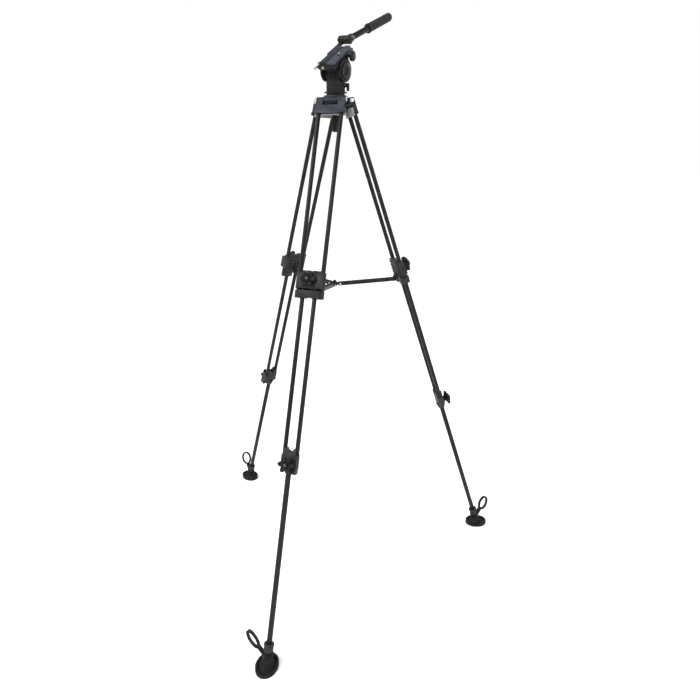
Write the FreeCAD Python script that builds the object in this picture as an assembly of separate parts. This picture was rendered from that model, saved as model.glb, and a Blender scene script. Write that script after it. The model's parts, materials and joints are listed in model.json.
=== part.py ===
import FreeCAD, Part
import math
import os

# Video tripod with a fluid head: three telescopic twin-tube legs, a mid-level
# spreader, a bowl crown, and a tilting head with a sliding camera plate.
# Millimetres, +Z up. The parts are laid out about the tripod's own axis and then
# moved so that the origin is the bottom centre of the object's bounding box.

V = FreeCAD.Vector
X_AXIS = V(1, 0, 0)
Y_AXIS = V(0, 1, 0)
Z_AXIS = V(0, 0, 1)
RUN = 0.3  # gap left between curved faces that slide or turn on each other

# ---------------------------------------------------------------- driving sizes
# Legs. Distances called *_at are measured down the leg from its hinge.
SPLAY = 19.27
HINGE_RADIUS = 42.0
HINGE_HEIGHT = 1660.0
LEGS = {"front": 0.0, "right": 120.0, "left": 240.0}
LOOP_TURN = {"front": -75.0, "right": 0.0, "left": 0.0}  # boots turn on their plugs

UPPER_TUBE_R = 7.1
UPPER_TUBE_X = 38.0
UPPER_TUBE_TOP_AT = 16.0
MIDDLE_TUBE_R = 7.1
MIDDLE_TUBE_X = 20.3
INNER_STAGE_OUT = 4.4  # the two lower stages sit this far outward of the upper one
MIDDLE_TUBE_TOP_AT = 566.0
MIDDLE_TUBE_END_AT = 1150.0
LOWER_TUBE_R = 8.65
LOWER_TUBE_TOP_AT = 1106.0
LOWER_TUBE_END_AT = 1712.0
TUBE_WALL = 1.4
FLOOR_AT = HINGE_HEIGHT / math.cos(math.radians(SPLAY))

MID_CLAMP_AT = (545.0, 633.0)
MID_SLIT_AT = (603.0, 609.0)
LOWER_CLAMP_AT = (1097.0, 1173.0)
KNOB_R = 27.5
KNOB_THICK = 19.0
MID_KNOB_AT = 575.0
LOWER_KNOB_AT = 1143.0

# Yoke at the top of each leg, and the crown's lug between its cheeks.
YOKE_GAP = 25.5
YOKE_HALF = 48.0
YOKE_OUT = 9.8
YOKE_END_AT = 44.0
LUG_HALF = 24.5

# Feet.
FERRULE_AT = (1686.0, 1712.0)
FERRULE_R = 14.7
PLUG_R = 11.7
PLUG_END_AT = 1742.0
PAD_LENGTH = 86.0
PAD_WIDTH = 68.0
PAD_RIM = 12.0

# Spreader. The arm's outer pivot sits on the leg at PIVOT_AT, PIVOT_IN inward.
PIVOT_AT = 612.0
PIVOT_IN = 28.5
HUB_RADIUS = 18.6
HUB_HEIGHT = 1062.7
ARM_WIDTH = 16.0
ARM_DEPTH = 12.0
ARM_WALL = 1.6
LUG_THICK = 9.0

# Bowl and half ball.
BALL_HEIGHT = 1672.0
BALL_R = 32.2
BOWL_RIM = 4.5
BOWL_R = 39.0
BOWL_HOLE_R = 14.0
FLANGE_R = 37.5
NECK_R = 29.5

# Head. Heights are above the ball's centre, along the pan axis.
HEAD_LEAN = 10.0
LEAN_TOWARD = -70.8
HEAD_TURN = -12.8
PAN_BASE = (17.2, 53.0)
PAN_BASE_R = 30.5
PAN_LOCK_TURN = 24.0
TILT_HEIGHT = 79.0
TILT_DOWN = 24.3
HOUSING_R = 21.0
HOUSING_HALF = 31.0
CHEEK_R = 33.0
CHEEK = (31.4, 38.0)

# Platform, in the tilting frame: x across, y to the rear, z off the tilt axis.
DECK = (22.0, 37.0)
DECK_HALF = 30.0
DECK_Y = (-48.0, 76.0)
RAIL_TOP = 43.0
PLATE_X = (2.0, 29.0)
PLATE_Y = (-45.0, 77.0)
PLATE_Z = (37.4, 44.0)
SCREW_Y = 13.0

# Pan handle, on a rosette at the end of a side bar.
BAR_X = (-41.0, -31.5)
BAR_Z = (30.0, 39.0)
ROSETTE_Y = 130.0
ROSETTE_Z = 40.0
ROSETTE_R = 13.0
HANDLE_DROP = 8.5
HANDLE_LENGTH = 304.0
GRIP_LENGTH = 152.0
ROD_R = 9.5
GRIP_R = 14.5

os.makedirs("parts", exist_ok=True)
parts = {}


# ------------------------------------------------------------------ small tools
def block(x, y, z):
    """A box from three (low, high) ranges."""
    return Part.makeBox(x[1] - x[0], y[1] - y[0], z[1] - z[0], V(x[0], y[0], z[0]))


def rod(radius, start, end):
    """A round bar between two points."""
    line = V(*end) - V(*start)
    return Part.makeCylinder(radius, line.Length, V(*start), line)


def pipe(radius, wall, start, end):
    """A hollow round tube between two points."""
    return rod(radius, start, end).cut(rod(radius - wall, start, end))


def join(first, *others):
    """One solid from several that touch or overlap."""
    return first.fuse(list(others)).removeSplitter()


def prism(points, x):
    """An outline in the YZ plane, drawn out across the x range."""
    corners = [V(x[0], y, z) for y, z in points]
    face = Part.Face(Part.makePolygon(corners + corners[:1]))
    return face.extrude(V(x[1] - x[0], 0, 0))


def slab(points, z):
    """An outline in the XY plane, drawn up through the z range."""
    corners = [V(x, y, z[0]) for x, y in points]
    face = Part.Face(Part.makePolygon(corners + corners[:1]))
    return face.extrude(V(0, 0, z[1] - z[0]))


def turned(profile):
    """A solid of revolution about Z from (radius, height) points."""
    corners = [V(r, 0, z) for r, z in profile]
    face = Part.Face(Part.makePolygon(corners + corners[:1]))
    return face.revolve(V(0, 0, 0), Z_AXIS, 360)


def moved(shape, placement):
    """A copy of a shape under a placement."""
    copy = shape.copy()
    copy.Placement = placement.multiply(copy.Placement)
    return copy


def placement(shift, axis, degrees):
    return FreeCAD.Placement(shift, FreeCAD.Rotation(axis, degrees))


def star_knob(radius, thick, shank_r, shank_length, lobes=6, neck=0):
    """A lobed knob whose back is at z = 0, with its neck and screw below."""
    lobe_r = radius * 0.30
    reach = radius - lobe_r
    knob = Part.makeCylinder(radius * 0.66, thick)
    for i in range(lobes):
        a = 2 * math.pi * i / lobes
        centre = V(reach * math.cos(a), reach * math.sin(a), 0)
        knob = knob.fuse(Part.makeCylinder(lobe_r, thick * 0.8, centre))
    boss = Part.makeCone(radius * 0.5, radius * 0.36, 3.0, V(0, 0, thick))
    shank = Part.makeCylinder(shank_r, shank_length, V(0, 0, -shank_length))
    if neck:
        knob = knob.fuse(Part.makeCone(radius * 0.34, radius * 0.6, neck, V(0, 0, -neck)))
    return join(knob, boss, shank)


# ------------------------------------------------------------------- placements
# A leg is modelled hanging from its hinge along -Z with its outer face toward -Y.
SPLAYED = placement(V(0, -HINGE_RADIUS, HINGE_HEIGHT), X_AXIS, -SPLAY)


def around(angle):
    return placement(V(0, 0, 0), Z_AXIS, angle)


def lean_axis():
    a = math.radians(LEAN_TOWARD + 90)
    return V(math.cos(a), math.sin(a), 0)


BALL_CENTRE = V(0, 0, BALL_HEIGHT)
LEANED = placement(BALL_CENTRE, lean_axis(), HEAD_LEAN)
HEAD = LEANED.multiply(around(HEAD_TURN))
TILTED = HEAD.multiply(placement(V(0, 0, TILT_HEIGHT), X_AXIS, TILT_DOWN))
ROSETTE = TILTED.multiply(placement(V(0, ROSETTE_Y, ROSETTE_Z), X_AXIS, -HANDLE_DROP))


def on_leg(shape, leg):
    return moved(shape, around(LEGS[leg]).multiply(SPLAYED))


# ------------------------------------------------------------------- leg pieces
def yoke():
    """Painted fork at the top of a leg: two cheeks round the crown's lug."""
    front = -YOKE_OUT
    outline = [(front, 4), (front, -YOKE_END_AT), (1, -YOKE_END_AT), (1, -17), (10, -10), (10, 5), (5, 9), (-5, 9)]
    body = prism(outline, (-YOKE_HALF, YOKE_HALF))
    mouth = block((-YOKE_GAP, YOKE_GAP), (-14, 11), (-19, 10))
    behind = block((-YOKE_GAP, YOKE_GAP), (-6, 11), (-YOKE_END_AT - 1, -18))
    body = body.cut(mouth).cut(behind)
    skirt = YOKE_HALF + 2.5
    flare = slab([(-skirt, front), (skirt, front), (skirt, 1), (-skirt, 1)], (-YOKE_END_AT, -YOKE_END_AT + 9))
    body = body.fuse(flare)
    for side in (-1, 1):
        x = side * UPPER_TUBE_X
        body = body.cut(rod(UPPER_TUBE_R, (x, 0, -UPPER_TUBE_TOP_AT), (x, 0, -YOKE_END_AT - 1)))
        lip = side * (YOKE_GAP + 4)
        dish = block(sorted((lip, lip + side * 14)), (-14, front + 1.2), (-8, 1))
        body = body.cut(dish)
    body = body.cut(rod(4.0, (-60, 0, 0), (60, 0, 0)))
    return body.removeSplitter()


def socket_block():
    """Bare metal saddle that holds both upper tubes in the yoke."""
    saddle = block((-46, 46), (1, 12), (-46, -20))
    for side in (-1, 1):
        x = side * UPPER_TUBE_X
        saddle = saddle.cut(rod(UPPER_TUBE_R, (x, 0, -10), (x, 0, -60)))
    relief = block((-22, 22), (7, 14), (-50, -10))
    return saddle.cut(relief)


def tube_pair(radius, half_gap, out, top_at, end_at):
    tubes = []
    for side in (-1, 1):
        x = side * half_gap
        tubes.append(pipe(radius, TUBE_WALL, (x, -out, -top_at), (x, -out, -end_at)))
    return Part.makeCompound(tubes)


def mid_clamp():
    """Split casting on the upper tubes that guides and grips the middle stage."""
    top, bottom = MID_CLAMP_AT
    outline = [(-17, -top - 16), (-17, -bottom), (14, -bottom), (14, -top), (-2, -top)]
    body = prism(outline, (-UPPER_TUBE_X, UPPER_TUBE_X))
    for side in (-1, 1):
        x = side * UPPER_TUBE_X
        body = body.fuse(rod(10.5, (x, 0, -top - 6), (x, 0, -bottom)))
    cheek = block((24, 44), (-25, -10), (-MID_SLIT_AT[0], -top - 17))
    body = body.fuse(cheek)
    for i in range(4):
        z = -top - 9 - 13 * i
        body = body.fuse(block((-36, 36), (13, 16.5), (z - 2.5, z)))
    boss = rod(13.0, (0, -22, -MID_KNOB_AT), (0, -10, -MID_KNOB_AT))
    body = body.fuse(boss)
    slit = block((-60, 60), (-40, 8), (-MID_SLIT_AT[1], -MID_SLIT_AT[0]))
    body = body.cut(slit)
    swing = block((-10.6, 10.6), (-13.6, 30), (-bottom - 1, -MID_SLIT_AT[1]))
    body = body.cut(swing)
    for side in (-1, 1):
        edge = sorted((side * LUG_THICK / 2, side * 9.8))
        body = body.cut(block(edge, (8.5, 40), (-MID_SLIT_AT[1], -572)))
    lug = prism([(8, -582), (8, -605), (24, -616), (31, -616), (31, -607), (21, -594)],
                (-LUG_THICK / 2, LUG_THICK / 2))
    eye = rod(4.2, (-LUG_THICK / 2, PIVOT_IN, -PIVOT_AT), (LUG_THICK / 2, PIVOT_IN, -PIVOT_AT))
    body = body.fuse([lug, eye])
    body = body.cut(rod(KNOB_R + 2.0, (0, -60, -MID_KNOB_AT), (0, -22, -MID_KNOB_AT)))
    body = body.cut(rod(4.2, (0, -60, -MID_KNOB_AT), (0, -16, -MID_KNOB_AT)))
    for side in (-1, 1):
        upper = side * UPPER_TUBE_X
        middle = side * MIDDLE_TUBE_X
        body = body.cut(rod(UPPER_TUBE_R, (upper, 0, -top + 9), (upper, 0, -bottom + 4)))
        body = body.cut(rod(MIDDLE_TUBE_R + RUN, (middle, -INNER_STAGE_OUT, -500), (middle, -INNER_STAGE_OUT, -700)))
    body = body.cut(rod(LOWER_TUBE_R + 0.6, (0, -INNER_STAGE_OUT, -500), (0, -INNER_STAGE_OUT, -700)))
    return body.removeSplitter()


def lower_clamp():
    """Casting on the middle tubes that grips the single lower tube."""
    top, bottom = LOWER_CLAMP_AT
    y = -INNER_STAGE_OUT
    body = block((-MIDDLE_TUBE_X, MIDDLE_TUBE_X), (y - 11, y + 11), (-1155, -top))
    for side in (-1, 1):
        x = side * MIDDLE_TUBE_X
        body = body.fuse(rod(9.6, (x, y, -top - 22), (x, y, -1155)))
    collar = Part.makeCone(12.5, 17.5, 20.0, V(0, y, -bottom), Z_AXIS)
    cheek = block((12, 29.5), (-26, y), (-bottom + 2, -top - 26))
    wedge = prism([(y, -top - 26), (-26, -top - 26), (y, -top - 14)], (12, 29.5))
    boss = rod(13.2, (0, -21, -LOWER_KNOB_AT), (0, -8, -LOWER_KNOB_AT))
    body = body.fuse([collar, cheek, wedge, boss])
    body = body.cut(rod(KNOB_R + 1.2, (0, -60, -LOWER_KNOB_AT), (0, -21, -LOWER_KNOB_AT)))
    body = body.cut(rod(4.2, (0, -60, -LOWER_KNOB_AT), (0, -15.6, -LOWER_KNOB_AT)))
    window = block((-11, 11), (-20, 20), (-top - 12, -top + 1))
    body = body.cut(window.common(rod(13.0, (0, -30, -top + 3), (0, 30, -top + 3))))
    for side in (-1, 1):
        x = side * MIDDLE_TUBE_X
        body = body.cut(rod(MIDDLE_TUBE_R, (x, y, -top + 1), (x, y, -MIDDLE_TUBE_END_AT)))
    body = body.cut(rod(LOWER_TUBE_R + RUN, (0, y, -top + 1), (0, y, -bottom - 1)))
    return body.removeSplitter()


def clamp_knob(at, back, thick, neck):
    """Star knob on a leg clamp, its screw pointing inward."""
    knob = star_knob(KNOB_R, thick, 4.0, 5.0 + neck, neck=neck)
    return moved(knob, placement(V(0, -back, -at), X_AXIS, 90))


def lower_tube():
    y = -INNER_STAGE_OUT
    return pipe(LOWER_TUBE_R, TUBE_WALL, (0, y, -LOWER_TUBE_TOP_AT), (0, y, -LOWER_TUBE_END_AT))


def foot_ferrule():
    """Plastic end cap of the lower tube, with the plug that the boot fits."""
    y = -INNER_STAGE_OUT
    cap = rod(FERRULE_R, (0, y, -FERRULE_AT[0]), (0, y, -FERRULE_AT[1]))
    cap = cap.cut(rod(LOWER_TUBE_R, (0, y, -FERRULE_AT[0] + 1), (0, y, -FERRULE_AT[1] - 1)))
    plug = rod(PLUG_R, (0, y, -FERRULE_AT[1]), (0, y, -PLUG_END_AT))
    bead = rod(FERRULE_R + 1.2, (0, y, -FERRULE_AT[0]), (0, y, -FERRULE_AT[0] - 6))
    bead = bead.cut(rod(LOWER_TUBE_R, (0, y, -FERRULE_AT[0] + 1), (0, y, -FERRULE_AT[0] - 9)))
    return join(cap, plug, bead)


def strap_loop(turn):
    """Pull loop of the rubber boot: an oval ring on a short strap."""
    ring = oval(60, 46, -3.5, 3.5, -30).cut(oval(46, 32, -4, 4, -30))
    strap = block((-8, 8), (-5, 24), (-3.5, 3.5))
    loop = moved(ring.fuse(strap), placement(V(0, -33.6 + INNER_STAGE_OUT, -1701.6), X_AXIS, -45))
    loop = moved(loop, placement(V(0, -INNER_STAGE_OUT, 0), Z_AXIS, turn))
    return loop.cut(rod(FERRULE_R + 0.5, (0, -INNER_STAGE_OUT, -1600), (0, -INNER_STAGE_OUT, -FERRULE_AT[1])))


def boot(turn):
    """Rubber boot: an oval dished pad flat on the floor, a socket and a pull loop."""
    axis_y = -INNER_STAGE_OUT
    socket = rod(16.5, (0, axis_y, -FERRULE_AT[1] - 0.3), (0, axis_y, -FLOOR_AT - 14))
    bore = rod(PLUG_R, (0, axis_y, -FERRULE_AT[1]), (0, axis_y, -PLUG_END_AT))
    upper = moved(socket.fuse(strap_loop(turn)), SPLAYED)
    foot_y = -HINGE_RADIUS - HINGE_HEIGHT * math.tan(math.radians(SPLAY))
    pad = oval(PAD_LENGTH, PAD_WIDTH, 0.0, PAD_RIM, foot_y)
    dish = oval(PAD_LENGTH - 13, PAD_WIDTH - 13, 6.5, PAD_RIM + 1, foot_y)
    instep = Part.makeCone(27.0, 17.0, 16.0, V(0, foot_y + 2, 6.0), Z_AXIS)
    body = pad.cut(dish).fuse([upper, instep])
    below = block((-99, 99), (foot_y - 99, foot_y + 99), (-99, 0))
    return body.cut(below).cut(moved(bore, SPLAYED)).removeSplitter()


def oval(length, width, low, high, y):
    """An elliptical plate whose long axis points away from the tripod's axis."""
    edge = Part.Ellipse(V(0, 0, 0), length / 2, width / 2).toShape()
    plate = Part.Face(Part.Wire([edge])).extrude(V(0, 0, high - low))
    return moved(plate, placement(V(0, y, low), Z_AXIS, 90))


# --------------------------------------------------------------------- spreader
def pivot_point():
    """Outer pivot of the front arm, in the tripod's frame."""
    return SPLAYED.multVec(V(0, PIVOT_IN, -PIVOT_AT))


def arm_frame():
    """Placement of the front arm: origin at the hub pivot, -Y along the arm."""
    pivot = pivot_point()
    rise = math.degrees(math.atan2(pivot.z - HUB_HEIGHT, -pivot.y - HUB_RADIUS))
    return placement(V(0, -HUB_RADIUS, HUB_HEIGHT), X_AXIS, -rise)


def arm_length():
    pivot = pivot_point()
    return math.hypot(pivot.z - HUB_HEIGHT, -pivot.y - HUB_RADIUS)


def spreader_arm():
    """Upward-opening channel, forked at its outer end, with its rivet heads."""
    length = arm_length()
    half = ARM_WIDTH / 2
    inner = half - ARM_WALL
    tip = -length - 8.0
    web_end = -length + 56.0
    arm = block((-half, half), (tip, 8.0), (-ARM_DEPTH / 2, ARM_DEPTH / 2))
    arm = arm.cut(block((-inner, inner), (tip - 1, 9.0), (-ARM_DEPTH / 2 + ARM_WALL, ARM_DEPTH)))
    arm = arm.cut(block((-inner, inner), (tip - 1, web_end), (-ARM_DEPTH, ARM_DEPTH)))
    arm = arm.cut(block((-inner, inner), (-9.0, 9.0), (-ARM_DEPTH, ARM_DEPTH)))
    rounded = rod(8.0, (-half, 0, 0), (half, 0, 0)).fuse(rod(8.0, (-half, -length, 0), (half, -length, 0)))
    middle = block((-half, half), (-length, 0), (-ARM_DEPTH, ARM_DEPTH))
    arm = arm.common(rounded.fuse(middle))
    for side in (-1, 1):
        arm = arm.fuse(rod(3.4, (side * inner, -length, 0), (side * (half + 1.5), -length, 0)))
    arm = arm.cut(rod(2.5 + 0.05, (-half - 1, 0, 0), (half + 1, 0, 0)))
    return arm.removeSplitter()


def spreader_hub():
    """Central boss with three knuckles for the arms."""
    hub = Part.makeCylinder(8.6, 15.0, V(0, 0, HUB_HEIGHT - 7.0))
    hub = hub.fuse(Part.makeSphere(5.5, V(0, 0, HUB_HEIGHT + 9.0)))
    for angle in LEGS.values():
        ear = block((-5.5, 5.5), (-HUB_RADIUS, -3), (HUB_HEIGHT - 3.6, HUB_HEIGHT + 3.6))
        knuckle = rod(3.9, (-5.5, -HUB_RADIUS, HUB_HEIGHT), (5.5, -HUB_RADIUS, HUB_HEIGHT))
        lug = ear.fuse(knuckle).cut(rod(2.5, (-9, -HUB_RADIUS, HUB_HEIGHT), (9, -HUB_RADIUS, HUB_HEIGHT)))
        hub = hub.fuse(moved(lug, around(angle)))
    return hub.removeSplitter()


def hub_pins():
    """Three rivets that carry the arms on the hub."""
    pins = []
    for angle in LEGS.values():
        pin = rod(2.5, (-9.4, -HUB_RADIUS, HUB_HEIGHT), (9.4, -HUB_RADIUS, HUB_HEIGHT))
        for side in (-1, 1):
            pin = pin.fuse(rod(3.6, (side * 8.3, -HUB_RADIUS, HUB_HEIGHT), (side * 9.8, -HUB_RADIUS, HUB_HEIGHT)))
        pins.append(moved(pin.removeSplitter(), around(angle)))
    return Part.makeCompound(pins)


# ------------------------------------------------------------------------ crown
def crown():
    """Bowl casting with three hinge lugs; the half ball sits in its cup."""
    centre = BALL_CENTRE
    outer = Part.makeSphere(37.6, centre).common(block((-60, 60), (-60, 60), (BALL_HEIGHT - 40, BALL_HEIGHT)))
    rim = Part.makeCylinder(BOWL_R, 24.0 + BOWL_RIM, V(0, 0, BALL_HEIGHT - 24))
    bowl = outer.fuse(rim)
    lug_top = BALL_HEIGHT - 1.0
    for angle in LEGS.values():
        arm = block((-LUG_HALF, LUG_HALF), (-HINGE_RADIUS, -20), (HINGE_HEIGHT - 9.0, lug_top))
        nose = rod(9.0, (-LUG_HALF, -HINGE_RADIUS, HINGE_HEIGHT), (LUG_HALF, -HINGE_RADIUS, HINGE_HEIGHT))
        brow = prism([(-HINGE_RADIUS - 6, HINGE_HEIGHT), (-HINGE_RADIUS - 6, lug_top - 4),
                      (-HINGE_RADIUS, lug_top), (-HINGE_RADIUS + 9, lug_top), (-HINGE_RADIUS + 9, HINGE_HEIGHT)],
                     (-LUG_HALF, LUG_HALF))
        lug = arm.fuse([nose, brow])
        hole = rod(4.0, (-60, -HINGE_RADIUS, HINGE_HEIGHT), (60, -HINGE_RADIUS, HINGE_HEIGHT))
        bowl = bowl.fuse(moved(lug, around(angle)))
        bowl = bowl.cut(moved(hole, around(angle)))
    bowl = bowl.cut(Part.makeSphere(BALL_R + RUN, centre))
    bowl = bowl.cut(Part.makeCylinder(BALL_R + RUN, 20, centre))
    bowl = bowl.cut(Part.makeCylinder(BOWL_HOLE_R, 60, V(0, 0, BALL_HEIGHT - 55)))
    return bowl.removeSplitter()


def hinge_bolts():
    """Three leg hinge bolts with their heads and nuts."""
    bolts = []
    for angle in LEGS.values():
        bolt = rod(3.95, (-YOKE_HALF - 1, 0, 0), (YOKE_HALF + 1, 0, 0))
        for side in (-1, 1):
            bolt = bolt.fuse(rod(6.2, (side * (YOKE_HALF + 0.2), 0, 0), (side * (YOKE_HALF + 3.6), 0, 0)))
        hex_cut = rod(2.6, (YOKE_HALF + 1.6, 0, 0), (YOKE_HALF + 9, 0, 0))
        bolt = moved(bolt.cut(hex_cut).removeSplitter(), placement(V(0, -HINGE_RADIUS, HINGE_HEIGHT), X_AXIS, 0))
        bolts.append(moved(bolt, around(angle)))
    return Part.makeCompound(bolts)


# ------------------------------------------------------------------ fluid head
def half_ball():
    """Levelling ball with its neck and flange."""
    ball = Part.makeSphere(BALL_R).common(block((-40, 40), (-40, 40), (-24, 3)))
    neck = turned([(0, 0), (NECK_R, 0), (NECK_R, 13.4), (FLANGE_R - 1, 13.4), (FLANGE_R, 14.4),
                   (FLANGE_R, 16.2), (FLANGE_R - 1, 17.2), (0, 17.2)])
    return join(ball, neck).cut(rod(5.0, (0, 0, -30), (0, 0, -4)))


def tie_down_stud():
    return rod(5.0, (0, 0, -92), (0, 0, -4))


def tie_down_handle():
    """Handle under the bowl, its cup bearing on the bowl's round underside."""
    grip = turned([(5.3, -104), (9.0, -104), (12.0, -100), (12.0, -62), (10.5, -56), (10.5, -48),
                   (21.0, -41), (21.0, -28), (5.3, -28)])
    grip = grip.fuse(rod(9.0, (0, 0, -104), (0, 0, -94)))
    grip = grip.cut(Part.makeSphere(38.0))
    for i in range(8):
        a = math.radians(45 * i)
        flute = rod(2.2, (13.2 * math.cos(a), 13.2 * math.sin(a), -99), (13.2 * math.cos(a), 13.2 * math.sin(a), -63))
        grip = grip.cut(flute)
    return grip.removeSplitter()


def pan_base():
    """Grooved pan drum on the half ball."""
    low, high = PAN_BASE
    r = PAN_BASE_R
    profile = [(0, low), (r, low), (r, low + 7)]
    for z in (low + 8.5, low + 20.5):
        profile += [(r, z - 1.2), (r - 1.4, z - 0.6), (r - 1.4, z + 0.6), (r, z + 1.2)]
    profile += [(r, high - 2.0), (r - 2.0, high), (0, high)]
    return turned(profile)


def pan_lock_knob():
    """Wing lever on the side of the pan drum."""
    hub = rod(6.5, (PAN_BASE_R + RUN, 0, 37), (PAN_BASE_R + 12, 0, 37))
    wing = prism([(-5.5, 42), (-7.0, 35), (-3.0, 20), (3.0, 20), (7.0, 35), (5.5, 42)],
                 (PAN_BASE_R + 5, PAN_BASE_R + 13))
    return moved(join(hub, wing), around(PAN_LOCK_TURN))


def tilt_housing():
    """Fixed centre of the head: turntable, block and the drum round the tilt shaft."""
    table = Part.makeCylinder(29.0, 5.0, V(0, 0, PAN_BASE[1] + RUN))
    foot = block((-HOUSING_HALF + 2, HOUSING_HALF - 2), (-HOUSING_R, HOUSING_R), (PAN_BASE[1] + 4, TILT_HEIGHT))
    drum = rod(HOUSING_R, (-HOUSING_HALF, 0, TILT_HEIGHT), (HOUSING_HALF, 0, TILT_HEIGHT))
    panel = block((-21, 12), (-HOUSING_R - 2.0, 0), (PAN_BASE[1] + 5, TILT_HEIGHT - 6))
    bore = rod(9.06, (-60, 0, TILT_HEIGHT), (60, 0, TILT_HEIGHT))
    return join(table, foot, drum, panel).cut(bore)


def tilt_shaft():
    return rod(9.0, (-CHEEK[0] - 3, 0, 0), (CHEEK[0] + 3, 0, 0))


def platform():
    """Tilting casting: deck, side rails and the two round cheeks on the shaft."""
    low, high = DECK
    half = CHEEK[1]
    deck = block((-DECK_HALF, DECK_HALF), DECK_Y, DECK)
    rail = block((-DECK_HALF + 3, PLATE_X[0] - 0.6), (DECK_Y[0] + 4, DECK_Y[1] - 2), (high - 1, RAIL_TOP))
    arms = block((-half, half), (-20, 20), (low, low + 6))
    body = deck.fuse([rail, arms])
    for side in (-1, 1):
        x = sorted((side * CHEEK[0], side * CHEEK[1]))
        cheek = rod(CHEEK_R, (x[0], 0, 0), (x[1], 0, 0))
        web = block(x, (-26, 26), (0, low + 6))
        body = body.fuse([cheek, web])
    shaft = rod(9.0, (-CHEEK[0] - 3, 0, 0), (CHEEK[0] + 3, 0, 0))
    socket = rod(26.0, (CHEEK[1] - 2.4, 0, 0), (CHEEK[1] + 1, 0, 0))
    nose = block((-60, 60), (DECK_Y[0] - 1, DECK_Y[0] + 5), (low - 1, low + 5))
    body = body.cut(nose.cut(rod(5.0, (-60, DECK_Y[0] + 5, low + 5), (60, DECK_Y[0] + 5, low + 5))))
    return body.cut(shaft).cut(socket).removeSplitter()


def drum_cover():
    """Cap let into the right cheek, with its long finger recess."""
    cap = rod(25.7, (CHEEK[1] - 2.3, 0, 0), (CHEEK[1] + 2.4, 0, 0))
    recess = rod(13.0, (CHEEK[1] - 0.4, -7, 3), (CHEEK[1] + 5, -7, 3))
    return cap.cut(recess.common(block((30, 50), (-30, 30), (-18, 16))))


def tilt_lock_lever():
    """Lever on the far cheek that locks the tilt."""
    hub = rod(9.0, (-CHEEK[1] - 9, 0, 0), (-CHEEK[1] - 0.3, 0, 0))
    arm = prism([(-6, 0), (-4, -34), (4, -34), (6, 0)], (-CHEEK[1] - 9, -CHEEK[1] - 3))
    return join(hub, arm)


def sliding_plate():
    """Camera plate with its slot for the screw and two index holes."""
    low, high = PLATE_Z
    centre = (PLATE_X[0] + PLATE_X[1]) / 2
    plate = block(PLATE_X, PLATE_Y, PLATE_Z)
    bevel = slab([(PLATE_X[1] + 1, PLATE_Y[1] - 12), (PLATE_X[1] + 1, PLATE_Y[1] + 1),
                  (PLATE_X[1] - 12, PLATE_Y[1] + 1)], (low - 1, high + 1))
    plate = plate.cut(bevel)
    slot = block((centre - 3.5, centre + 3.5), (SCREW_Y - 10, SCREW_Y + 10), (low - 1, high + 1))
    counter = block((centre - 7.5, centre + 7.5), (SCREW_Y - 15, SCREW_Y + 15), (low - 1, low + 3.4))
    plate = plate.cut(slot).cut(counter)
    for y in (PLATE_Y[0] + 18, PLATE_Y[1] - 17):
        plate = plate.cut(rod(2.6, (centre, y, low - 1), (centre, y, high + 1)))
    return plate


def camera_screw():
    """Quarter-inch camera screw standing out of the plate."""
    centre = (PLATE_X[0] + PLATE_X[1]) / 2
    head = rod(6.8, (centre, SCREW_Y, PLATE_Z[0] + 0.2), (centre, SCREW_Y, PLATE_Z[0] + 3.2))
    shank = rod(2.8, (centre, SCREW_Y, PLATE_Z[0] + 3), (centre, SCREW_Y, PLATE_Z[1] + 1))
    thread = rod(3.175, (centre, SCREW_Y, PLATE_Z[1] + 0.3), (centre, SCREW_Y, PLATE_Z[1] + 5.3))
    return join(join(head, shank), thread)


def plate_lever():
    """Small bright lever that releases the plate."""
    x, y = -DECK_HALF - 5.5, -32
    hub = rod(5.0, (x, y, 26), (x, y, 37))
    arm = slab([(x - 2, y), (x - 7, y - 22), (x - 1, y - 24), (x + 4, y - 2)], (27, 33))
    knob = rod(3.0, (x, y, 37), (x, y, 41))
    return join(hub, arm, knob)


def bubble_level():
    y = DECK_Y[0]
    return rod(4.5, (-12, y - 2.4, DECK[1] - 6.5), (-12, y, DECK[1] - 6.5))


def plate_lock_knob():
    """Round knob on the side of the deck that clamps the plate."""
    stem = rod(6.0, (DECK_HALF + RUN, 47, 24), (DECK_HALF + 7, 47, 24))
    disc = rod(15.0, (DECK_HALF + 6, 47, 24), (DECK_HALF + 15, 47, 24))
    return join(stem, disc)


def handle_bracket():
    """Bare side bar that carries the handle's rosette behind the deck."""
    bar = block(BAR_X, (30, ROSETTE_Y), BAR_Z)
    eye = rod(ROSETTE_R, (BAR_X[0], ROSETTE_Y, ROSETTE_Z), (BAR_X[1], ROSETTE_Y, ROSETTE_Z))
    foot = block((BAR_X[1] - 1, -DECK_HALF), (31, 72), (BAR_Z[0] + 0.4, DECK[1] - 0.4))
    return join(bar, eye, foot).cut(rod(4.1, (-60, ROSETTE_Y, ROSETTE_Z), (0, ROSETTE_Y, ROSETTE_Z)))


def handle_clamp():
    """Rosette clamp, in the handle's frame: the rod leaves along +Y."""
    x = BAR_X[1]
    drum = rod(ROSETTE_R, (x + RUN, 0, 0), (x + 25, 0, 0))
    neck = rod(12.5, (x + 13, 0, 0), (x + 13, 26, 0))
    clamp = join(drum, neck).cut(rod(ROD_R, (x + 13, 14, 0), (x + 13, 40, 0)))
    return clamp.cut(rod(4.1, (x - 1, 0, 0), (x + 12, 0, 0)))


def handle_knob():
    """Lobed knob whose screw pulls the rosette together."""
    knob = star_knob(12.5, 10.0, 4.0, 20.0, lobes=5)
    return moved(knob, placement(V(BAR_X[0] - RUN, 0, 0), Y_AXIS, -90))


def handle_rod():
    x = BAR_X[1] + 13
    return rod(ROD_R, (x, 14, 0), (x, HANDLE_LENGTH - 12, 0))


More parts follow.
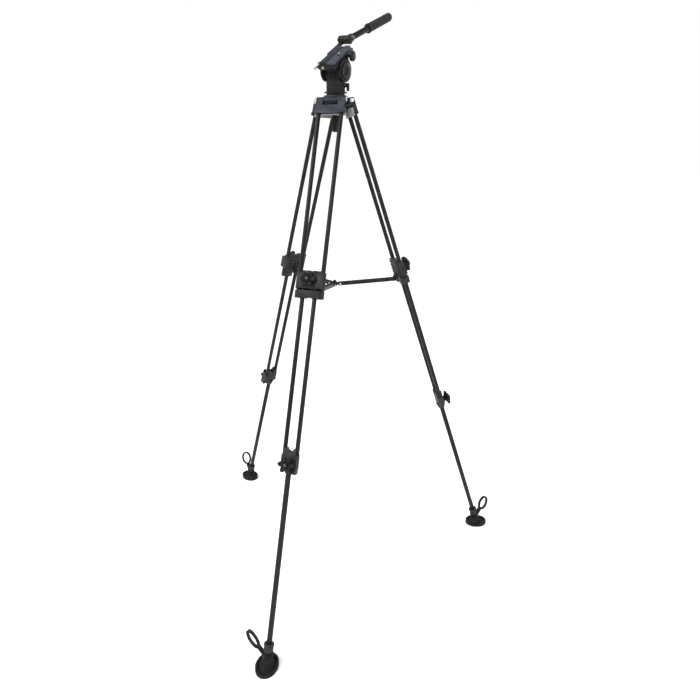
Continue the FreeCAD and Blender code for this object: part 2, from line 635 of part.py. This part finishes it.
def handle_grip():
    """Rubber sleeve with a collar at its inner end."""
    x = BAR_X[1] + 13
    start = HANDLE_LENGTH - GRIP_LENGTH
    profile = [(0, start - 12), (GRIP_R + 1, start - 12), (GRIP_R + 1, start - 3), (GRIP_R, start), (GRIP_R, HANDLE_LENGTH - 4),
               (GRIP_R - 4, HANDLE_LENGTH), (0, HANDLE_LENGTH)]
    sleeve = moved(turned(profile), placement(V(x, 0, 0), X_AXIS, -90))
    return sleeve.cut(rod(ROD_R, (x, 0, 0), (x, HANDLE_LENGTH - 12, 0)))


# ------------------------------------------------------------------ the assembly
for leg in LEGS:
    parts[leg + "_yoke"] = on_leg(yoke(), leg)
    parts[leg + "_socket_block"] = on_leg(socket_block(), leg)
    parts[leg + "_upper_tubes"] = on_leg(
        tube_pair(UPPER_TUBE_R, UPPER_TUBE_X, 0, UPPER_TUBE_TOP_AT, MID_CLAMP_AT[1] - 4), leg)
    parts[leg + "_mid_clamp"] = on_leg(mid_clamp(), leg)
    parts[leg + "_mid_knob"] = on_leg(clamp_knob(MID_KNOB_AT, 22.3, KNOB_THICK, 0), leg)
    parts[leg + "_middle_tubes"] = on_leg(
        tube_pair(MIDDLE_TUBE_R, MIDDLE_TUBE_X, INNER_STAGE_OUT, MIDDLE_TUBE_TOP_AT, MIDDLE_TUBE_END_AT), leg)
    parts[leg + "_lower_clamp"] = on_leg(lower_clamp(), leg)
    parts[leg + "_lower_knob"] = on_leg(clamp_knob(LOWER_KNOB_AT, 30.3, KNOB_THICK - 5, 9), leg)
    parts[leg + "_lower_tube"] = on_leg(lower_tube(), leg)
    parts[leg + "_foot_ferrule"] = on_leg(foot_ferrule(), leg)
    parts[leg + "_boot"] = moved(boot(LOOP_TURN[leg]), around(LEGS[leg]))
    parts[leg + "_spreader_arm"] = moved(spreader_arm(), around(LEGS[leg]).multiply(arm_frame()))

parts["crown"] = crown()
parts["hinge_bolts"] = hinge_bolts()
parts["spreader_hub"] = spreader_hub()
parts["hub_pins"] = hub_pins()

for make in (half_ball, tie_down_stud, tie_down_handle):
    parts[make.__name__] = moved(make(), LEANED)
for make in (pan_base, pan_lock_knob, tilt_housing):
    parts[make.__name__] = moved(make(), HEAD)
for make in (tilt_shaft, platform, drum_cover, tilt_lock_lever, sliding_plate, camera_screw, plate_lever,
             bubble_level, plate_lock_knob, handle_bracket):
    parts[make.__name__] = moved(make(), TILTED)
for make in (handle_clamp, handle_knob, handle_rod, handle_grip):
    parts[make.__name__] = moved(make(), ROSETTE)

# The box of the whole object gives the origin: its bottom centre.
whole = FreeCAD.BoundBox()
for shape in parts.values():
    whole.add(shape.optimalBoundingBox(False, False))
ORIGIN_SHIFT = V(-whole.Center.x, -whole.Center.y, -whole.ZMin)

for name, shape in parts.items():
    shape = moved(shape, FreeCAD.Placement(ORIGIN_SHIFT, FreeCAD.Rotation()))
    solids = len(shape.Solids)
    print(name, "solids", solids, "valid", shape.isValid(), "volume", round(shape.Volume))
    shape.exportStep("parts/" + name + ".step")
print("nodes", len(parts), "size", whole.XLength, whole.YLength, whole.ZLength, "shift", ORIGIN_SHIFT)
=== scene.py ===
import json
import math

import bmesh
import bpy
from mathutils import Matrix, Vector, noise

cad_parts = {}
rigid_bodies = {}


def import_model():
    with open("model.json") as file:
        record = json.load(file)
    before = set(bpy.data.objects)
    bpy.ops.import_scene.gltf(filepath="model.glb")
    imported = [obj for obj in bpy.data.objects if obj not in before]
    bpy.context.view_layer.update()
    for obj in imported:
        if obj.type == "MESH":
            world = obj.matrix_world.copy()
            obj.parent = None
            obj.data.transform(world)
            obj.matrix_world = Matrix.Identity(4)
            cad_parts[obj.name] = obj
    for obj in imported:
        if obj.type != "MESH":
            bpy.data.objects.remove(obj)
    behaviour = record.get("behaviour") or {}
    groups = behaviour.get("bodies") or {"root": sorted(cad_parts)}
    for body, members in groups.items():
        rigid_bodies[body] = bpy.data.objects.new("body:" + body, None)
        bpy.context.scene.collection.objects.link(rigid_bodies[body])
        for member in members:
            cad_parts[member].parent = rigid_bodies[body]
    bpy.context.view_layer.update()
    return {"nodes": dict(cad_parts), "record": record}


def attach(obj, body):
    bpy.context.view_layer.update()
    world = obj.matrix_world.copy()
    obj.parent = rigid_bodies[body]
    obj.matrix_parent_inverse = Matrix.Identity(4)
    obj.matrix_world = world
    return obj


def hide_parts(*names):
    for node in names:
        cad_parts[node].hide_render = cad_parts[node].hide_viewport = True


# Looks of the video tripod with a fluid head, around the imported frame. Metres.
for stray in list(bpy.data.objects):
    bpy.data.objects.remove(stray)
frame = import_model()
MM = 0.001
behaviour = frame["record"]["behaviour"]
SLOT = {part["node"]: part["material_slot"] for part in frame["record"]["subparts"]}
BODY = {node: body for body, nodes in behaviour["bodies"].items() for node in nodes}
JOINT = {joint["name"]: joint for joint in behaviour["joints"]}

# ------------------------------------------------------------------ local frames
LEGS = {"front": 0, "right": 120, "left": 240}
SPLAY = math.radians(19.27)
HINGE_RADIUS = 0.042
fold = Vector(JOINT["front_fold"]["pos_m"])
CENTRE = Vector((0, fold.y + HINGE_RADIUS, 0))
ROOT = Matrix.Translation(CENTRE)


def leg_frame(leg):
    """Origin at the leg's hinge, -Z down the leg, -Y outward."""
    turn = Matrix.Rotation(math.radians(LEGS[leg]), 4, "Z")
    hinge = Matrix.Translation((0, -HINGE_RADIUS, fold.z))
    return ROOT @ turn @ hinge @ Matrix.Rotation(-SPLAY, 4, "X")


def joint_frame(name, upward):
    """Origin on a joint, X along its axis, Z as near as it goes to the given direction."""
    joint = JOINT[name]
    x = Vector(joint["axis"]).normalized()
    z = Vector(upward)
    z = (z - x * z.dot(x)).normalized()
    y = z.cross(x)
    frame_matrix = Matrix((x, y, z)).transposed().to_4x4()
    frame_matrix.translation = Vector(joint["pos_m"])
    return frame_matrix


PLATE_UP = Vector(JOINT["camera_screw_turn"]["axis"])
TILT = joint_frame("tilt_turn", PLATE_UP)
HANDLE_DROP = math.radians(8.5)
ROSETTE_PLACE = (0, 0.130, 0.040)
ROSETTE = TILT @ Matrix.Translation(ROSETTE_PLACE) @ Matrix.Rotation(-HANDLE_DROP, 4, "X")


# --------------------------------------------------------------------- materials
GLOSS = 0.14
RELIEF_DEPTH = 0.0002


def shader(name, base, rough, metal=0.0):
    material = bpy.data.materials.new(name)
    material.use_nodes = True
    tree = material.node_tree
    principled = tree.nodes["Principled BSDF"]
    principled.inputs["Base Color"].default_value = (*base, 1)
    principled.inputs["Roughness"].default_value = rough
    principled.inputs["Metallic"].default_value = metal
    principled.inputs["Specular IOR Level"].default_value = GLOSS
    return material, tree, principled


def grain(tree, scale, detail=4.0, stretch=None, turn=None):
    """A noise texture on the row frame's own coordinates, stretched along a direction if asked."""
    coordinates = tree.nodes.new("ShaderNodeTexCoord")
    texture = tree.nodes.new("ShaderNodeTexNoise")
    texture.inputs["Scale"].default_value = scale
    texture.inputs["Detail"].default_value = detail
    source = coordinates.outputs["Object"]
    if stretch:
        rotate = tree.nodes.new("ShaderNodeMapping")
        rotate.inputs["Rotation"].default_value = turn
        squeeze = tree.nodes.new("ShaderNodeMapping")
        squeeze.inputs["Scale"].default_value = stretch
        tree.links.new(source, rotate.inputs["Vector"])
        tree.links.new(rotate.outputs["Vector"], squeeze.inputs["Vector"])
        source = squeeze.outputs["Vector"]
    tree.links.new(source, texture.inputs["Vector"])
    return texture.outputs["Fac"]


def ramp(tree, source, low, high, colours):
    band = tree.nodes.new("ShaderNodeValToRGB")
    band.color_ramp.elements[0].position = low
    band.color_ramp.elements[1].position = high
    band.color_ramp.elements[0].color = (*colours[0], 1)
    band.color_ramp.elements[1].color = (*colours[1], 1)
    tree.links.new(source, band.inputs["Fac"])
    return band.outputs["Color"]


def spread(tree, source, low, high):
    remap = tree.nodes.new("ShaderNodeMapRange")
    remap.inputs["To Min"].default_value = low
    remap.inputs["To Max"].default_value = high
    remap.inputs["From Min"].default_value = 0.3
    remap.inputs["From Max"].default_value = 0.7
    tree.links.new(source, remap.inputs["Value"])
    return remap.outputs["Result"]


def finish(name, base, tint, rough, metal=0.0, fine=1400, coarse=22, bump=0.12, stretch=None, turn=None):
    """A surface whose colour drifts between base and tint, with fine grain in its gloss and relief."""
    material, tree, principled = shader(name, base, rough[0], metal)
    broad = grain(tree, coarse, 5.0, stretch, turn)
    small = grain(tree, fine, 3.0, stretch, turn)
    tree.links.new(ramp(tree, broad, 0.3, 0.7, (base, tint)), principled.inputs["Base Color"])
    tree.links.new(spread(tree, small, rough[0], rough[1]), principled.inputs["Roughness"])
    relief = tree.nodes.new("ShaderNodeBump")
    relief.inputs["Strength"].default_value = bump
    relief.inputs["Distance"].default_value = RELIEF_DEPTH
    tree.links.new(small, relief.inputs["Height"])
    tree.links.new(relief.outputs["Normal"], principled.inputs["Normal"])
    return material


MATERIAL = {
    "casting_blue": finish(
        "cast_paint", (0.014, 0.0155, 0.023), (0.028, 0.03, 0.042), (0.34, 0.52), fine=900, bump=0.3),
    "housing_black": finish(
        "housing_paint", (0.004, 0.0042, 0.005), (0.011, 0.0112, 0.0128), (0.3, 0.5), fine=900, bump=0.3),
    "plate_grey": finish(
        "plate_enamel", (0.036, 0.04, 0.055), (0.056, 0.06, 0.08), (0.26, 0.42), fine=1300),
    "clamp_plastic": finish(
        "moulded_clamp", (0.014, 0.014, 0.0143), (0.032, 0.032, 0.033), (0.42, 0.62), bump=0.3),
    "knob_plastic": finish(
        "moulded_knob", (0.005, 0.005, 0.0056), (0.012, 0.012, 0.0132), (0.34, 0.52), bump=0.25),
    "socket_metal": finish(
        "bare_casting", (0.16, 0.16, 0.162), (0.24, 0.24, 0.242), (0.3, 0.5), 0.5, fine=700),
    "bright_steel": finish(
        "bright_steel", (0.42, 0.42, 0.43), (0.56, 0.56, 0.56), (0.16, 0.34), 0.95, fine=2200),
    "pan_grey": finish(
        "pan_paint", (0.008, 0.008, 0.0068), (0.016, 0.016, 0.0138), (0.34, 0.5), bump=0.2),
    "boot_rubber": finish(
        "boot_rubber", (0.006, 0.006, 0.0064), (0.015, 0.015, 0.016), (0.5, 0.76), coarse=45, bump=0.4),
    "grip_foam": finish(
        "grip_rubber", (0.016, 0.016, 0.0165), (0.03, 0.03, 0.031), (0.46, 0.7), bump=0.5),
    "rod_black": finish(
        "rod_black", (0.006, 0.006, 0.0066), (0.012, 0.012, 0.0132), (0.24, 0.4)),
    "dull_screw": finish(
        "dull_screw", (0.07, 0.07, 0.072), (0.11, 0.11, 0.11), (0.3, 0.45), 0.4, fine=1600),
    "bubble_clear": finish(
        "vial", (0.2, 0.22, 0.16), (0.28, 0.3, 0.22), (0.05, 0.12)),
}
for leg, angle in LEGS.items():
    MATERIAL[leg + "_tube"] = finish(
        leg + "_tube", (0.006, 0.006, 0.0066), (0.016, 0.016, 0.0174), (0.24, 0.4), fine=900, coarse=60,
        stretch=(1, 1, 0.02), turn=(SPLAY, 0, -math.radians(angle)))


def paint(obj, key):
    obj.data.materials.clear()
    obj.data.materials.append(MATERIAL[key])


# ------------------------------------------------------------------- mesh helpers
WELD = 2e-6
FLAT = math.radians(1.5)


def piece(name, mesh, body, key):
    obj = bpy.data.objects.new(name, mesh)
    bpy.context.collection.objects.link(obj)
    paint(obj, key)
    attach(obj, body)
    return obj


def smooth(obj, degrees=35):
    """Shades the piece smooth, with its corners kept crisp."""
    obj.data.shade_smooth()
    obj.data.set_sharp_from_angle(angle=math.radians(degrees))


def ease_edges(work, width, segments, degrees=38):
    """Rounds every edge that turns by more than the given angle."""
    limit = math.radians(degrees)
    hard = [e for e in work.edges if len(e.link_faces) == 2 and e.calc_face_angle(0) > limit]
    bmesh.ops.bevel(work, geom=hard, offset=width, offset_type="OFFSET", segments=segments, profile=0.5,
                    affect="EDGES", clamp_overlap=True)


def softened(node, width, key=None, segments=2):
    """A copy of a CAD node with eased edges, standing for it."""
    source = frame["nodes"][node]
    mesh = source.data.copy()
    work = bmesh.new()
    work.from_mesh(mesh)
    bmesh.ops.remove_doubles(work, verts=work.verts, dist=WELD)
    bmesh.ops.dissolve_limit(work, angle_limit=FLAT, verts=work.verts, edges=work.edges)
    ease_edges(work, width, segments)
    work.to_mesh(mesh)
    work.free()
    obj = piece(node + "_skin", mesh, BODY[node], key or SLOT[node])
    smooth(obj)
    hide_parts(node)
    return obj


def lathe(name, profile, matrix, body, key, sides=64, wave=None):
    """A turned mesh about local Z from (radius, height) points in millimetres."""
    mesh = bpy.data.meshes.new(name)
    work = bmesh.new()
    rings = []
    for radius, height in profile:
        ring = []
        for i in range(sides):
            a = 2 * math.pi * i / sides
            r = radius * (wave(a, height) if wave else 1)
            spot = Vector((r * math.cos(a) * MM, r * math.sin(a) * MM, height * MM))
            ring.append(work.verts.new(matrix @ spot))
        rings.append(ring)
    for low, high in zip(rings, rings[1:]):
        for i in range(sides):
            j = (i + 1) % sides
            work.faces.new((low[i], low[j], high[j], high[i]))
    work.faces.new(list(reversed(rings[0])))
    work.faces.new(rings[-1])
    bmesh.ops.recalc_face_normals(work, faces=work.faces)
    work.to_mesh(mesh)
    work.free()
    obj = piece(name, mesh, body, key)
    smooth(obj)
    return obj


def bars(name, boxes, matrix, body, key, ease=0.3):
    """Several eased bars as one piece, from (low, high) corners in millimetres."""
    mesh = bpy.data.meshes.new(name)
    work = bmesh.new()
    for low, high in boxes:
        made = bmesh.ops.create_cube(work, size=1)["verts"]
        centre = (Vector(low) + Vector(high)) / 2
        size = Vector(high) - Vector(low)
        for vert in made:
            spot = Vector((vert.co.x * size.x, vert.co.y * size.y, vert.co.z * size.z)) + centre
            vert.co = matrix @ (spot * MM)
    ease_edges(work, ease * MM, 2)
    work.to_mesh(mesh)
    work.free()
    obj = piece(name, mesh, body, key)
    smooth(obj)
    return obj


# ---------------------------------------------------------------- pieces by piece
def lobed(lobes, depth):
    def wave(a, height):
        lobe = 0.5 + 0.5 * math.cos(lobes * a)
        return 1 - depth * (1 - lobe ** 0.55) * min(1.0, max(0.0, (height + 3) / 5))
    return wave


MID_KNOB_AT, MID_KNOB_OUT = 575, 22.3
LOWER_KNOB_AT, LOWER_KNOB_OUT = 1143, 30.3
MID_PROFILE = [(0.1, 0.2), (22, 0.2), (25.5, 1.4), (27.2, 4), (27.4, 9), (26.4, 13), (24, 15.2), (20.5, 16),
               (17.5, 15.4), (15, 14.9), (12.5, 16.2), (11, 19.2), (9.8, 21.4), (8.2, 22), (6.4, 21.8),
               (6.1, 20.4), (0.1, 20.2)]
LOWER_PROFILE = [(0.1, -8.8), (9.0, -8.8), (10.5, -6), (13.5, -2.5), (19, -0.5), (24.5, 1.2), (27.0, 3.2),
                 (27.3, 6.5), (26.0, 9.2), (23, 10.6), (19, 10.4), (15.5, 9.8), (12.5, 11.2), (11, 14.0),
                 (9.6, 16.4), (8.0, 17), (6.4, 16.8), (6.1, 15.4), (0.1, 15.2)]


def leg_knob(leg, node, at, out, profile):
    """Star knob with a rounded rim, a dished face and a capped screw."""
    seat = Matrix.Translation((0, -out * MM, -at * MM))
    matrix = leg_frame(leg) @ seat @ Matrix.Rotation(math.pi / 2, 4, "X")
    knob = lathe(leg + node + "_star", profile, matrix, BODY[leg + node], "knob_plastic", 96, lobed(6, 0.4))
    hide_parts(leg + node)
    top = profile[-1][1]
    cap = [(0.1, top), (4.2, top), (4.2, top + 0.5), (3.6, top + 0.9), (2.0, top + 0.9), (1.8, top + 0.3),
           (0.1, top + 0.3)]
    lathe(leg + node + "_screw", cap, matrix, BODY[leg + node], "dull_screw", 40)


LEG_EASE = {"_yoke": 0.0014, "_socket_block": 0.0008, "_mid_clamp": 0.0011, "_lower_clamp": 0.0012,
            "_foot_ferrule": 0.0009, "_spreader_arm": 0.0004, "_upper_tubes": 0.0003, "_middle_tubes": 0.0003,
            "_lower_tube": 0.0003}
for leg in LEGS:
    for node, width in LEG_EASE.items():
        is_tube = SLOT[leg + node] == "tube_black"
        softened(leg + node, width, leg + "_tube" if is_tube else None)
    leg_knob(leg, "_mid_knob", MID_KNOB_AT, MID_KNOB_OUT, MID_PROFILE)
    leg_knob(leg, "_lower_knob", LOWER_KNOB_AT, LOWER_KNOB_OUT, LOWER_PROFILE)


def rubber(node, key):
    """A rubber moulding: the node's solid with well rounded corners and a slightly uneven skin."""
    skin = softened(node, 0.0016, key, 3)
    for vert in skin.data.vertices:
        vert.co -= vert.normal * (0.00015 + 0.00035 * abs(noise.noise(vert.co * 90)))
        vert.co.z = max(vert.co.z, 0.0)


for leg in LEGS:
    rubber(leg + "_boot", "boot_rubber")

# Paints that differ from the record's slots, which stay as they are in the table.
DRESS = {"tilt_housing": "housing_black", "platform": "housing_black", "handle_bracket": "rod_black",
         "drum_cover": "knob_plastic"}
for node, width in {
    "crown": 0.0014, "spreader_hub": 0.0008, "hub_pins": 0.0004, "hinge_bolts": 0.0005, "half_ball": 0.0005,
    "tie_down_handle": 0.001, "tie_down_stud": 0.0004, "pan_base": 0.0004, "pan_lock_knob": 0.0014,
    "tilt_housing": 0.0014, "platform": 0.0013, "drum_cover": 0.0008, "tilt_lock_lever": 0.0014,
    "sliding_plate": 0.0006, "camera_screw": 0.0003, "plate_lever": 0.0006, "bubble_level": 0.0004,
    "plate_lock_knob": 0.001, "handle_bracket": 0.001, "handle_clamp": 0.001, "handle_rod": 0.0006,
    "tilt_shaft": 0.0004,
}.items():
    softened(node, width, DRESS.get(node))

# Pan handle grip with moulded rings, and the lobed knob of its rosette.
ROD_ASIDE = -0.0185
KNOB_ASIDE = -0.0413
RING_PITCH = 4.6
grip_matrix = ROSETTE @ Matrix.Translation((ROD_ASIDE, 0, 0)) @ Matrix.Rotation(-math.pi / 2, 4, "X")
start, end = 152.0, 304.0
grip_profile = [(9.6, start - 12), (14.6, start - 12), (15.4, start - 11), (15.4, start - 4),
                (14.6, start - 3), (13.2, start)]
at = start + 3
while at < end - 22:
    grip_profile += [(13.1, at), (14.3, at + 1.0), (14.4, at + 2.6), (13.1, at + 3.6)]
    at += RING_PITCH
grip_profile += [(13.2, end - 18), (14.4, end - 16), (14.4, end - 6), (13.4, end - 2.2),
                 (10.6, end - 0.2), (0.1, end)]
grip = lathe("handle_grip_skin", grip_profile, grip_matrix, BODY["handle_grip"], "grip_foam", 64)
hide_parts("handle_grip")
knob_matrix = ROSETTE @ Matrix.Translation((KNOB_ASIDE, 0, 0)) @ Matrix.Rotation(-math.pi / 2, 4, "Y")
knob_profile = [(0.1, 0.2), (9, 0.2), (11.6, 1.4), (12.5, 3.5), (12.3, 7), (11, 9.6), (8, 10.4), (6, 10.2),
                (5.2, 12), (3.6, 12.8), (0.1, 12.9)]
knob = lathe(
    "handle_knob_skin", knob_profile, knob_matrix, BODY["handle_knob"], "knob_plastic", 80, lobed(5, 0.22))
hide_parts("handle_knob")

# Ribbed anti-slip strip along the platform's rail, beside the sliding plate.
RIB_WIDTH = 2.0
ribs = [((x, -41.0, 42.6), (x + RIB_WIDTH, 72.0, 43.9)) for x in (-26.2, -22.2, -18.2, -14.2, -10.2, -6.2)]
bars("rail_ribs", ribs, TILT, "tilt", "plate_grey")

# Dark discs painted on the sliding plate as the shade seen in its two small holes; the holes themselves are
# not cut.
PLATE_MIDDLE = 15.5
hole_shade_profile = [(0.1, 43.9), (2.1, 43.9), (2.1, 44.06), (0.1, 44.06)]
for index, y in enumerate((-27, 60)):
    hole_shade_place = TILT @ Matrix.Translation((PLATE_MIDDLE * MM, y * MM, 0))
    # Each disc is painted shade laid on the plate in place of a hole.
    lathe("plate_hole_%d" % index, hole_shade_profile, hole_shade_place, "plate", "knob_plastic", 32)

# ------------------------------------------------------------ stage, light, camera
floor_mesh = bpy.data.meshes.new("floor")
FAR = 300
floor_mesh.from_pydata([(-FAR, -FAR, 0), (FAR, -FAR, 0), (FAR, FAR, 0), (-FAR, FAR, 0)], [], [(0, 1, 2, 3)])
floor = bpy.data.objects.new("floor", floor_mesh)
bpy.context.collection.objects.link(floor)
pale, _, floor_shader = shader("pale_floor", (0.965, 0.965, 0.965), 1.0)
floor_shader.inputs["Specular IOR Level"].default_value = 0.0
floor_mesh.materials.append(pale)

# White down to the horizon and to the sides, dimmer overhead, so that dark parts keep their contrast.
world = bpy.data.worlds.new("studio")
bpy.context.scene.world = world
world.use_nodes = True
sky = world.node_tree
around = sky.nodes.new("ShaderNodeTexCoord")
split = sky.nodes.new("ShaderNodeSeparateXYZ")
fade = sky.nodes.new("ShaderNodeMapRange")
fade.inputs["From Min"].default_value = 0.45
fade.inputs["From Max"].default_value = 0.75
fade.inputs["To Min"].default_value = 1.0
fade.inputs["To Max"].default_value = 0.35
sky.links.new(around.outputs["Generated"], split.inputs["Vector"])
sky.links.new(split.outputs["Z"], fade.inputs["Value"])
sky.links.new(fade.outputs["Result"], sky.nodes["Background"].inputs["Color"])


def area(name, spot, target, size, power):
    light = bpy.data.lights.new(name, "AREA")
    light.shape = "DISK"
    light.size = size
    light.energy = power
    obj = bpy.data.objects.new(name, light)
    bpy.context.collection.objects.link(obj)
    obj.location = spot
    obj.rotation_euler = (Vector(target) - Vector(spot)).to_track_quat("-Z", "Y").to_euler()


area("key", (-2.2, -2.8, 3.6), (0, 0, 1.2), 1.6, 75)
area("fill", (3.0, -1.6, 2.4), (0, 0, 1.0), 2.4, 30)
area("rim", (0.8, 3.2, 3.0), (0, 0, 1.2), 1.6, 45)

sun = bpy.data.lights.new("overhead", "SUN")
sun.energy = 2.3
sun.angle = 1.0
sun_holder = bpy.data.objects.new("overhead", sun)
bpy.context.collection.objects.link(sun_holder)
sun_holder.rotation_euler = Vector((0.45, 0.5, -1)).to_track_quat("-Z", "Y").to_euler()

# The photo's own point of view, about the tripod's axis.
VIEW = (-0.3161, 0.9078, -0.2755)
ROLL = math.radians(-0.14)
EYE = (0.59297, -1.76279, 1.4344)
camera_data = bpy.data.cameras.new("camera")
camera = bpy.data.objects.new("camera", camera_data)
bpy.context.collection.objects.link(camera)
forward = Vector(VIEW).normalized()
turn = Matrix.Rotation(ROLL, 4, forward)
side = turn @ forward.cross(Vector((0, 0, 1))).normalized()
upright = side.cross(forward)
pose = Matrix((side, upright, -forward)).transposed().to_4x4()
pose.translation = CENTRE + Vector(EYE)
camera.matrix_world = pose
camera_data.lens = 27.458
camera_data.sensor_width = 36.0
camera_data.shift_x = 0.030
camera_data.shift_y = -0.0323
camera_data.clip_end = 1000
bpy.context.scene.camera = camera
bpy.context.scene.view_settings.view_transform = "Standard"
